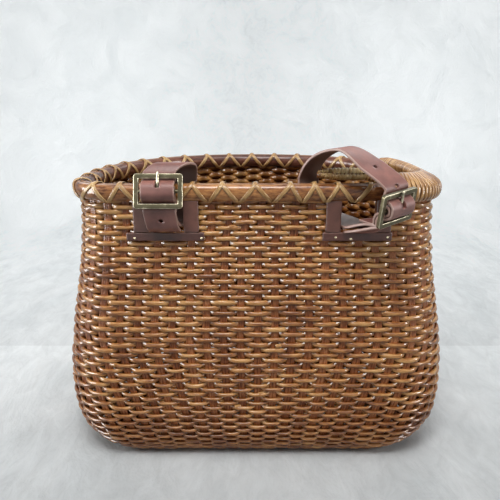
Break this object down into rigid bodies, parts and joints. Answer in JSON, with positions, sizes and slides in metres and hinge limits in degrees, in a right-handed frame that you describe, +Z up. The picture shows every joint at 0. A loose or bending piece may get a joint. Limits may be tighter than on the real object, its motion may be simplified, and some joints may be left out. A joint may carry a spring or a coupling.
{
  "type": "bicycle_basket",
  "caption": "Woven rattan handlebar basket with a flat strap side and a bowed back, a lashed cane rim with a bound splice, and two buckled leather straps",
  "frame": {"origin": "centre of the base underside", "axes": "+X along the flat strap side to the right seen from that side, +Y away from the strap side to the bowed back, +Z up"},
  "size_m": [0.3326, 0.2438, 0.2716],
  "materials": {
    "weave": "varnished round reed woven over flat stakes",
    "cane": "glossy varnished cane",
    "strip": "split cane strip, varnished, pale",
    "edging": "dark leather strip with raw edges",
    "leather": "vegetable-tanned strap leather, raw edges",
    "brass": "antiqued, bright on the edges"
  },
  "bodies": {
    "basket": {"woven_wall": "weave", "woven_base": "weave", "rim_outer_cane": "cane", "rim_inner_cane": "cane", "rim_top_reed": "cane", "rim_splice_tail": "cane", "lashing_first_pass": "strip", "lashing_second_pass": "strip", "splice_binding": "strip", "tail_binding": "strip", "left_window_left_edging": "edging", "left_window_right_edging": "edging", "left_window_sill_edging": "edging", "right_window_left_edging": "edging", "right_window_right_edging": "edging", "right_window_sill_edging": "edging"},
    "left_strap": {"left_strap": "leather"},
    "left_buckle": {"left_buckle": "brass"},
    "left_prong": {"left_prong": "brass"},
    "right_strap": {"right_strap": "leather"},
    "right_buckle": {"right_buckle": "brass"},
    "right_prong": {"right_prong": "brass"}
  },
  "joints": [
    {"name": "left_strap_swing", "type": "hinge", "parent": "basket", "child": "left_strap", "pos_m": [-0.069, -0.0875, 0.24175], "axis": [1, 0, 0], "range_deg": [-10, 5]},
    {"name": "left_buckle_tilt", "type": "hinge", "parent": "left_strap", "child": "left_buckle", "pos_m": [-0.0715, -0.1032, 0.24375], "axis": [1, 0, 0], "range_deg": [-3, 3]},
    {"name": "left_prong_lift", "type": "hinge", "parent": "left_buckle", "child": "left_prong", "pos_m": [-0.0715, -0.1032, 0.24375], "axis": [1, 0, 0], "range_deg": [0, 8]},
    {"name": "right_strap_swing", "type": "hinge", "parent": "basket", "child": "right_strap", "pos_m": [0.077, -0.0875, 0.24175], "axis": [1, 0, 0], "range_deg": [-5, 3]},
    {"name": "right_buckle_tilt", "type": "hinge", "parent": "right_strap", "child": "right_buckle", "pos_m": [0.099, -0.1122, 0.23375], "axis": [0.8104, 0.5803, 0.08], "range_deg": [-3, 3]},
    {"name": "right_prong_lift", "type": "hinge", "parent": "right_buckle", "child": "right_prong", "pos_m": [0.099, -0.1122, 0.23375], "axis": [0.8104, 0.5803, 0.08], "range_deg": [0, 8]}
  ]
}
